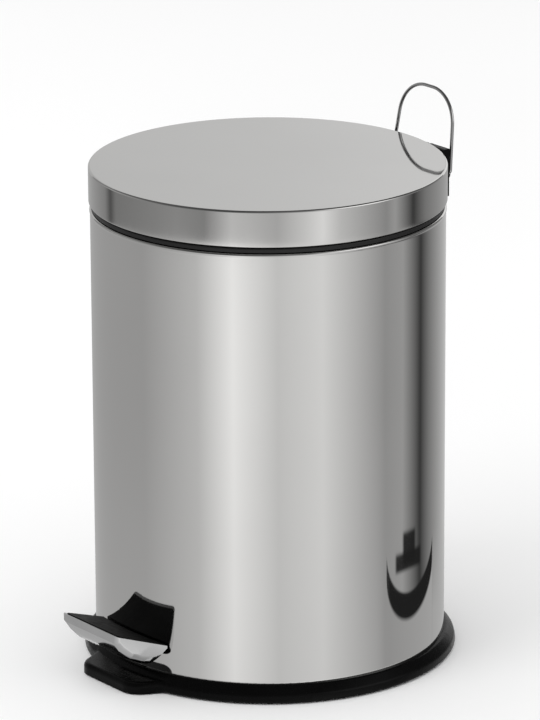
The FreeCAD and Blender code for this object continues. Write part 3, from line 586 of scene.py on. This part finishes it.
refined("pedalRivets", "pedal_rivets", 0.0)
refined("bracketRivets", "lever_bracket_rivets", 0.0)
print("mouldings and pressings made")


# A geometry node tree with named sizes, and the modifier that runs it once.
class Recipe:
    def __init__(self, name, sizes):
        self.tree = bpy.data.node_groups.new(name, "GeometryNodeTree")
        face = self.tree.interface
        face.new_socket("Geometry", in_out="INPUT", socket_type="NodeSocketGeometry")
        self.sizes = {}
        for size in sizes:
            kind = "NodeSocketInt" if size == "count" else "NodeSocketFloat"
            self.sizes[size] = face.new_socket(size, in_out="INPUT", socket_type=kind).identifier
        self.finish = face.new_socket("finish", in_out="INPUT", socket_type="NodeSocketMaterial").identifier
        face.new_socket("Geometry", in_out="OUTPUT", socket_type="NodeSocketGeometry")
        self.given = self.tree.nodes.new("NodeGroupInput")
        self.result = self.tree.nodes.new("NodeGroupOutput")

    def step(self, kind, settings=None, **inputs):
        made = self.tree.nodes.new(kind)
        for key, setting in (settings or {}).items():
            setattr(made, key, setting)
        for key, value in inputs.items():
            socket = made.inputs[key.replace("_", " ")]
            for one in value if isinstance(value, list) else [value]:
                if isinstance(one, bpy.types.NodeSocket):
                    self.tree.links.new(one, socket)
                else:
                    socket.default_value = one
        return made.outputs[0]

    def maths(self, operation, first, second):
        made = self.tree.nodes.new("ShaderNodeMath")
        made.operation = operation
        for socket, value in zip(made.inputs, (first, second)):
            if isinstance(value, bpy.types.NodeSocket):
                self.tree.links.new(value, socket)
            else:
                socket.default_value = value
        return made.outputs[0]

    def vector(self, **parts):
        return self.step("ShaderNodeCombineXYZ", {}, **parts)

    def end(self, instances):
        plain = self.step("GeometryNodeRealizeInstances", {}, Geometry=instances)
        finish = self.given.outputs["finish"]
        done = self.step("GeometryNodeSetMaterial", {}, Geometry=plain, Material=finish)
        self.tree.links.new(done, self.result.inputs["Geometry"])

    def run(self, name, node, values, points):
        start = bpy.data.meshes.new(name + "Places")
        start.from_pydata([tuple(point) for point in points], [], [])
        holder = bpy.data.objects.new(name + "Places", start)
        scene.collection.objects.link(holder)
        modifier = holder.modifiers.new("recipe", "NODES")
        modifier.node_group = self.tree
        for size, value in values.items():
            modifier[self.sizes[size]] = value
        modifier[self.finish] = finishes[slotOf[node]]
        depsgraph = bpy.context.evaluated_depsgraph_get()
        mesh = bpy.data.meshes.new_from_object(holder.evaluated_get(depsgraph))
        bpy.data.objects.remove(holder)
        made = bmesh.new()
        made.from_mesh(mesh)
        bmesh.ops.remove_doubles(made, verts=made.verts, dist=1e-6)
        bmesh.ops.recalc_face_normals(made, faces=made.faces)
        for line in made.edges:
            line.smooth = len(line.link_faces) == 2 and line.calc_face_angle(0) < math.radians(32)
        made.to_mesh(mesh)
        made.free()
        return newPiece(name, mesh, node)


# a fixing's head and recess, as shares of its own sizes, and how many sides its cones have
headShape = {"rim": 0.55, "crownAt": 0.4, "crown": 0.6, "crownFoot": 0.97, "crownTop": 0.72, "sunk": 0.3,
             "slotReach": 1.05, "cut": 2, "secondCut": 2.15, "headSides": 40, "shankSides": 24}


# Round-headed fixings on points, head outwards along each point's own +Z, with a cross recess.
def screwRecipe():
    sizes = ["head", "height", "shank", "length", "slot", "depth", "tilt"]
    recipe = Recipe("headedFixings", sizes)
    size = {name: recipe.given.outputs[name] for name in sizes}

    def share(name, part):
        return recipe.maths("MULTIPLY", size[name], headShape[part])

    def cone(sides, lower, upper, tall):
        return recipe.step("GeometryNodeMeshCone", {}, Vertices=sides,
                           Radius_Bottom=lower, Radius_Top=upper, Depth=tall)

    def moved(shape, at):
        return recipe.step("GeometryNodeTransform", {}, Geometry=shape, Translation=at)

    head, shank, slot = size["head"], size["shank"], size["slot"]
    sides, cut = headShape["headSides"], {"operation": "DIFFERENCE"}
    low = cone(sides, head, head, share("height", "rim"))
    high = cone(sides, share("head", "crownFoot"), share("head", "crownTop"), share("height", "crown"))
    high = moved(high, recipe.vector(Z=share("height", "crownAt")))
    buried = recipe.maths("ADD", size["length"], share("height", "sunk"))
    stem = cone(headShape["shankSides"], shank, shank, buried)
    stem = moved(stem, recipe.vector(Z=recipe.maths("MULTIPLY", size["length"], -1)))
    body = recipe.step("GeometryNodeMeshBoolean", {"operation": "UNION"}, Mesh_2=[low, high, stem])
    reach = share("head", "slotReach")
    crossed = [recipe.vector(X=reach, Y=slot, Z=share("depth", "cut")),
               recipe.vector(X=slot, Y=reach, Z=share("depth", "secondCut"))]
    for across in crossed:
        cutter = recipe.step("GeometryNodeMeshCube", {}, Size=across)
        cutter = moved(cutter, recipe.vector(Z=size["height"]))
        body = recipe.step("GeometryNodeMeshBoolean", cut, Mesh_1=body, Mesh_2=[cutter])
    points = recipe.step("GeometryNodeMeshToPoints", {}, Mesh=recipe.given.outputs["Geometry"])
    turn = recipe.vector(X=size["tilt"])
    recipe.end(recipe.step("GeometryNodeInstanceOnPoints", {}, Points=points, Instance=body, Rotation=turn))
    return recipe


# Small blocks set round a ring, each pointing at its axis.
def ribRecipe():
    sizes = ["count", "ring", "across", "wide", "tall", "high"]
    recipe = Recipe("ringRibs", sizes)
    size = {name: recipe.given.outputs[name] for name in sizes}
    ring = recipe.step("GeometryNodeMeshCircle", {}, Vertices=size["count"], Radius=size["ring"])
    lift = recipe.vector(Z=size["high"])
    raised = recipe.step("GeometryNodeTransform", {}, Geometry=ring, Translation=lift)
    points = recipe.step("GeometryNodeMeshToPoints", {}, Mesh=raised)
    sides = recipe.vector(X=size["across"], Y=size["wide"], Z=size["tall"])
    block = recipe.step("GeometryNodeMeshCube", {}, Size=sides)
    index = recipe.step("GeometryNodeInputIndex", {})
    angle = recipe.maths("MULTIPLY", recipe.maths("DIVIDE", index, size["count"]), math.tau)
    turn = recipe.vector(Z=angle)
    recipe.end(recipe.step("GeometryNodeInstanceOnPoints", {}, Points=points, Instance=block, Rotation=turn))
    return recipe


fixing = {"floorHead": 3.0 * mm, "floorHeight": 1.7 * mm, "floorShank": 1.5 * mm, "screwHead": 2.9 * mm,
          "screwHeight": 1.8 * mm, "screwShank": 1.5 * mm, "slot": 0.8 * mm, "depth": 0.7 * mm}


def fixingSizes(kind, length, tilt):
    return {"head": fixing[kind + "Head"], "height": fixing[kind + "Height"], "shank": fixing[kind + "Shank"],
            "length": length, "slot": fixing["slot"], "depth": fixing["depth"], "tilt": tilt}


def makeFixings():
    recipe = screwRecipe()
    low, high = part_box("floor_screws")
    at = high.x - fixing["floorHead"]
    seat = low.z + fixing["floorHeight"]
    places = [(x, y, seat) for x in (-at, at) for y in (-at, at)]
    recipe.run("floorScrews", "floor_screws", fixingSizes("floor", high.z - seat, math.pi), places)
    low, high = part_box("bracket_screws")
    at = high.x - fixing["screwHead"]
    seat = high.y - fixing["screwHeight"]
    places = [(x, seat, (low.z + high.z) / 2) for x in (-at, at)]
    recipe.run("bracketScrews", "bracket_screws", fixingSizes("screw", seat - low.y, -math.pi / 2), places)


ring = {"ribs": 144, "tall": 0.5 * mm, "wide": 1.4 * mm, "width": 3.0 * mm, "round": 0.3 * mm}


def makeAntiSlipRing():
    low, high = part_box("anti_slip_ring")
    middle = high.x - ring["width"] / 2
    half, start = ring["width"] / 2, low.z + ring["tall"]
    outline = softened([(middle - half, high.z, 0), (middle - half, start, ring["round"]),
                        (middle + half, start, ring["round"]), (middle + half, high.z, 0)], 4)
    outline.append(outline[0])
    newPiece("antiSlipRing", turned(outline, evenColumns(180)), "anti_slip_ring")
    ribRecipe().run("antiSlipRibs", "anti_slip_ring", {
        "count": ring["ribs"], "ring": middle, "across": ring["width"] - 0.6 * mm, "wide": ring["wide"],
        "tall": ring["tall"] * 2, "high": low.z + ring["tall"]}, [(0, 0, 0)])


makeFixings()
makeAntiSlipRing()
print("fixings and ribs made")


camera = {"turn": math.radians(52), "away": 2.877, "height": 1.072, "pitch": math.radians(17.39),
          "roll": -0.0049, "lens": 262.14, "shift": 0.0017, "shiftY": -0.0005}
camDir = Vector((math.sin(camera["turn"]), -math.cos(camera["turn"]), 0))
sideways = Vector((math.cos(camera["turn"]), math.sin(camera["turn"]), 0))
view = bpy.data.objects.new("camera", bpy.data.cameras.new("camera"))
scene.collection.objects.link(view)
view.data.lens = camera["lens"]
view.data.shift_x = camera["shift"]
view.data.shift_y = camera["shiftY"]
stand = Matrix.Translation(camDir * camera["away"] + Vector((0, 0, camera["height"])))
swing = Matrix.Rotation(camera["turn"], 4, "Z")
nod = Matrix.Rotation(math.pi / 2 - camera["pitch"], 4, "X")
lean = Matrix.Rotation(camera["roll"], 4, "Z")
view.matrix_world = stand @ (swing @ nod) @ lean
scene.camera = view


def paleFloor():
    finish = Finish("paleFloor")
    cloud = finish.noise(1.5, 2)
    tone = finish.ramp(cloud, (0.3, 0.93), (0.7, 0.95))
    return finish.set(Base_Color=tone, Roughness=0.9)


# brightness across the wall's mirror image, from its left edge at -1 to its right edge at 1, in steps of 0.05
wallShows = [(-1.0, 0.45), (-0.7, 0.45), (-0.4, 0.7), (-0.2, 1.2), (0.05, 0.8), (0.3, 0.95),
             (0.65, 0.4), (0.75, 0.45), (0.85, 0.05), (0.9, 0.25), (1.0, 0.6)]
# the same across the lid's skirt
skirtShows = [(-1.0, 0.45), (-0.9, 0.3), (-0.87, 0.1), (-0.84, 0.25), (-0.5, 0.35), (-0.35, 0.3),
              (-0.2, 0.7), (0.05, 0.55), (0.2, 0.8), (0.3, 1.0), (0.4, 0.7), (0.65, 0.35),
              (0.7, 0.45), (0.8, 0.05), (0.87, 0.25), (1.0, 0.45)]
card = {"top": 1.3, "low": 0.0101, "skirt": 0.2652, "high": 0.5, "clear": 0.0008, "rows": 60, "columns": 240,
        "crowding": 1.6, "side": 89.6, "mirroredAt": 0.792, "mirroredHalf": 0.132, "mirroredFoot": 0.034,
        "footRise": 0.029, "footBand": 0.0164, "bandRise": 0.028, "beside": 0.46, "besideRise": 0.05,
        "faded": 0.62, "fading": 0.28, "softSide": 0.006, "softRise": 0.003}
# dark patches of the mirrored shape: left and right as shares of the width, low and high in metres
mirroredShapes = [(0.874, 0.915, 0.066, 0.089), (0.853, 0.930, 0.063, 0.077)]


# A brightness table read by linear steps.
def rampOf(finish, share, table):
    return finish.ramp(share, *[((place + 1) / 2, shade / card["top"]) for place, shade in table])


# The glow of the studio as the polished wall shows it, laid out on the card by its own coordinates.
def studioCard():
    finish = Finish("studioCard", emission=True)
    share, height = split(finish, finish.node("ShaderNodeUVMap", {"uv_map": "shown"}))[:2]
    wall = rampOf(finish, share, wallShows)
    skirt = rampOf(finish, share, skirtShows)
    # the rounded foot of the upright shape mirrored near the right edge
    across = (share * 2 - 1 - card["mirroredAt"]) / card["mirroredHalf"]
    inside = finish.node("ShaderNodeMath", {"operation": "LESS_THAN"}, across * across, 1.0)
    bow = 1 - finish.node("ShaderNodeMath", {"operation": "SQRT"}, finish.node(
        "ShaderNodeMath", {"operation": "MAXIMUM"}, 1 - across * across, 0.0))
    foot = bow * card["footRise"] + card["mirroredFoot"]
    band = bow * card["bandRise"] + (card["mirroredFoot"] + card["footBand"])
    belowFoot = finish.node("ShaderNodeMapRange", {}, foot - height, -0.0015, 0.0015, 0.0, 1.0) * inside
    inBand = finish.node("ShaderNodeMapRange", {}, band - height, -0.001, 0.001, 0.0, 1.0) * inside
    dark = 0.02 / card["top"]
    edges = [(card["beside"] + way * card["besideRise"]) / card["top"] for way in (-1, 1)]
    beside = finish.ramp(across * 0.5 + 0.5, (0.0, edges[0]), (1.0, edges[1]))
    wall = finish.mixColour(inBand, wall, (dark, dark, dark, 1))
    wall = finish.mixColour(belowFoot, wall, beside)
    rightEdge = (card["mirroredAt"] + card["mirroredHalf"] + 1) / 2
    pastIt = finish.node("ShaderNodeMapRange", {}, share, rightEdge - 0.002, rightEdge + 0.002, 0.0, 1.0)
    nearFloor = finish.node("ShaderNodeMapRange", {}, height, 0.03, 0.08, 1.0, 0.0)
    wall = finish.mixColour(pastIt * nearFloor, wall, beside)
    side, rise = card["softSide"], card["softRise"]
    for left, right, low, high in mirroredShapes:
        shape = finish.node("ShaderNodeMapRange", {}, share, left, left + side, 0.0, 1.0)
        shape = shape * finish.node("ShaderNodeMapRange", {}, share, right - side, right, 1.0, 0.0)
        shape = shape * finish.node("ShaderNodeMapRange", {}, height, low, low + rise, 0.0, 1.0)
        shape = shape * finish.node("ShaderNodeMapRange", {}, height, high - rise, high, 1.0, 0.0)
        wall = finish.mixColour(shape * 0.97, wall, (dark, dark, dark, 1))
    # the streaks run together towards the floor
    faded = card["faded"] / card["top"]
    fade = finish.node("ShaderNodeMapRange", {}, height, 0.015, 0.17, card["fading"], 0.0)
    clear = finish.node("ShaderNodeMapRange", {}, share, 0.80, 0.84, 1.0, 0.0)
    wall = finish.mixColour(fade * clear, wall, (faded, faded, faded, 1))
    onSkirt = finish.node("ShaderNodeMath", {"operation": "GREATER_THAN"}, height, card["skirt"])
    glow = finish.mixColour(onSkirt, wall, skirt)
    finish.put(finish.shader.inputs["Color"], glow)
    finish.put(finish.shader.inputs["Strength"], card["top"])
    return finish.material


# a softer ring of the same kind for the sides the main view does not see, by angle in degrees
surround = [(0, 0.80), (30, 0.95), (55, 0.60), (80, 0.42), (110, 0.50), (135, 0.20), (142, 0.16), (150, 0.45),
            (185, 0.62), (205, 0.95), (228, 0.80), (255, 0.46), (290, 0.40), (320, 0.72), (340, 1.05),
            (360, 0.80)]
dome = {"radius": 5.0, "low": 0.55, "high": 0.16, "patch": 1.1, "dimFrom": 0.5, "dimTo": 4.5}
# the dome's bright window, each edge as the start and end of its fade: angles in radians, heights in metres
window = {"near": (0.35, 0.95), "far": (1.25, 1.8), "sill": (0.6, 1.2), "head": (3.0, 3.8)}


# The surround's brightness by direction, as a share of the cards' top brightness.
def streaks(finish, x, y):
    angle = finish.node("ShaderNodeMath", {"operation": "ARCTAN2"}, y, x)
    share = finish.node("ShaderNodeMath", {"operation": "WRAP"}, angle / math.tau, 1.0, 0.0)
    return finish.ramp(share, *[(degrees / 360, shade / card["top"]) for degrees, shade in surround])


def roundCard():
    finish = Finish("roundCard", emission=True)
    x, y = axes(finish)[:2]
    out = finish.node("ShaderNodeMath", {"operation": "SQRT"}, x * x + y * y)
    far = finish.node("ShaderNodeMapRange", smoothStep, out, dome["dimFrom"], dome["dimTo"], 1.0, dome["low"])
    finish.put(finish.shader.inputs["Color"], streaks(finish, x, y) * far)
    finish.put(finish.shader.inputs["Strength"], card["top"])
    return finish.material


# The upright glow behind the bin that the lid's flat top mirrors, darker on its left.
def backCard():
    finish = Finish("backCard", emission=True)
    share = split(finish, finish.node("ShaderNodeUVMap", {"uv_map": "shown"}))[0]
    finish.put(finish.shader.inputs["Color"], finish.ramp(share, (0.30, 0.56), (0.5, 0.70), (0.70, 0.94)))
    return finish.material


# A card seen only in reflections, with its own layout coordinates.
def shownCard(name, corners, places, finish):
    mesh = bpy.data.meshes.new(name)
    made = bmesh.new()
    layer = made.loops.layers.uv.new("shown")
    rows = [[made.verts.new(point) for point in row] for row in corners]
    for k in range(len(rows) - 1):
        for i in range(len(rows[0]) - 1):
            face = made.faces.new((rows[k][i], rows[k][i + 1], rows[k + 1][i + 1], rows[k + 1][i]))
            cell = ((k, i), (k, i + 1), (k + 1, i + 1), (k + 1, i))
            for loop, (row, column) in zip(face.loops, cell):
                loop[layer].uv = places[row][column]
    made.to_mesh(mesh)
    made.free()
    mesh.materials.append(finish)
    return reflectedOnly(name, mesh)


def reflectedOnly(name, mesh):
    piece = bpy.data.objects.new(name, mesh)
    scene.collection.objects.link(piece)
    piece.visible_camera = False
    piece.visible_diffuse = False
    piece.visible_shadow = False
    piece.visible_transmission = False
    return piece


# Lays the card out along the lines in which the wall mirrors the floor.
def makeFloorCard():
    radius = -shellLow.y
    facing = camera["turn"] - math.pi / 2
    corners, places = [], []
    for k in range(card["rows"] + 1):
        high = card["low"] + (card["high"] - card["low"]) * (k / card["rows"]) ** card["crowding"]
        row, spots = [], []
        for i in range(card["columns"] + 1):
            beta = math.radians(-card["side"] + 2 * card["side"] * i / card["columns"])
            out = facing + beta
            way = facing + 2 * beta
            reach = high * (camera["away"] - radius * math.cos(beta)) / (camera["height"] - high)
            row.append((radius * math.cos(out) + reach * math.cos(way),
                        radius * math.sin(out) + reach * math.sin(way), card["clear"]))
            spots.append(((math.sin(beta) + 1) / 2, high))
        corners.append(row)
        places.append(spots)
    shownCard("studioCard", corners, places, studioCard())


# What shiny edges and wires mirror overhead: dim, with one bright window to the right.
def domeGlow():
    finish = Finish("domeGlow", emission=True)
    x, y, z = axes(finish)
    spin = camera["turn"] - math.pi / 2
    forward = x * math.cos(spin) + y * math.sin(spin)
    aside = y * math.cos(spin) - x * math.sin(spin)
    angle = finish.node("ShaderNodeMath", {"operation": "ARCTAN2"}, aside, forward)
    base = finish.node("ShaderNodeMapRange", {}, z, 0.0, dome["radius"] * 0.7, dome["low"], dome["high"])
    lit = finish.node("ShaderNodeMapRange", smoothStep, angle, *window["near"], 0.0, 1.0)
    lit = lit * finish.node("ShaderNodeMapRange", smoothStep, angle, *window["far"], 1.0, 0.0)
    lit = lit * finish.node("ShaderNodeMapRange", smoothStep, z, *window["sill"], 0.0, 1.0)
    lit = lit * finish.node("ShaderNodeMapRange", smoothStep, z, *window["head"], 1.0, 0.0)
    glow = streaks(finish, x, y) * base * card["top"] + lit * dome["patch"]
    finish.put(finish.shader.inputs["Color"], glow)
    return finish.material


def makeDome():
    steps = [math.radians(90 * k / 24) for k in range(25)]
    profile = [Vector((dome["radius"] * math.cos(a), dome["radius"] * math.sin(a))) for a in steps]
    profile[-1].x = 0
    mesh = turned(profile, evenColumns(64))
    mesh.flip_normals()
    mesh.materials.append(domeGlow())
    reflectedOnly("domeGlow", mesh)


backdrop = {"behind": 1.6, "half": 1.2, "foot": 0.05, "head": 1.6, "columns": 10}


def makeBackCard():
    behind = -camDir * backdrop["behind"]
    shares = [i / backdrop["columns"] for i in range(backdrop["columns"] + 1)]
    corners, places = [], []
    for high in (backdrop["foot"], backdrop["head"]):
        lift = Vector((0, 0, high))
        corners.append([behind + sideways * (2 * share - 1) * backdrop["half"] + lift for share in shares])
        places.append([(share, high) for share in shares])
    shownCard("backCard", corners, places, backCard())


ground = {"size": 8, "inner": 0.112, "middle": 0.5, "outer": 4.95, "clear": 0.0004}


def makeStage():
    mesh = bpy.data.meshes.new("floor")
    made = bmesh.new()
    bmesh.ops.create_grid(made, x_segments=1, y_segments=1, size=ground["size"])
    made.to_mesh(mesh)
    made.free()
    mesh.materials.append(paleFloor())
    floor = bpy.data.objects.new("floor", mesh)
    scene.collection.objects.link(floor)
    rings = [Vector((ground[part], ground["clear"])) for part in ("inner", "middle", "outer")]
    disc = turned(rings, evenColumns(180))
    disc.flip_normals()
    disc.materials.append(roundCard())
    reflectedOnly("roundCard", disc)
    makeFloorCard()
    makeBackCard()
    makeDome()


def makeLight(name, at, size, power, aim=(0, 0, 0.14)):
    lamp = bpy.data.objects.new(name, bpy.data.lights.new(name, "AREA"))
    scene.collection.objects.link(lamp)
    lamp.data.shape = "RECTANGLE"
    lamp.data.size = size[0]
    lamp.data.size_y = size[1]
    lamp.data.energy = power
    # a mirrored white square would look like a hole in the steel
    lamp.visible_glossy = False
    lamp.location = at
    lamp.rotation_euler = (Vector(aim) - Vector(at)).to_track_quat("-Z", "Y").to_euler()


def makeWorld():
    world = bpy.data.worlds.new("studio")
    scene.world = world
    world.use_nodes = True
    world.node_tree.nodes["Background"].inputs["Color"].default_value = (0.98, 0.98, 0.98, 1)
    world.node_tree.nodes["Background"].inputs["Strength"].default_value = 1.02


makeStage()
makeWorld()
makeLight("softboxLeft", camDir * 1.2 - sideways * 1.6 + Vector((0, 0, 1.6)), (1.4, 1.4), 14)
print("studio made")

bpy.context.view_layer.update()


def plain(bounds):
    return [[float(value) for value in corner] for corner in bounds]
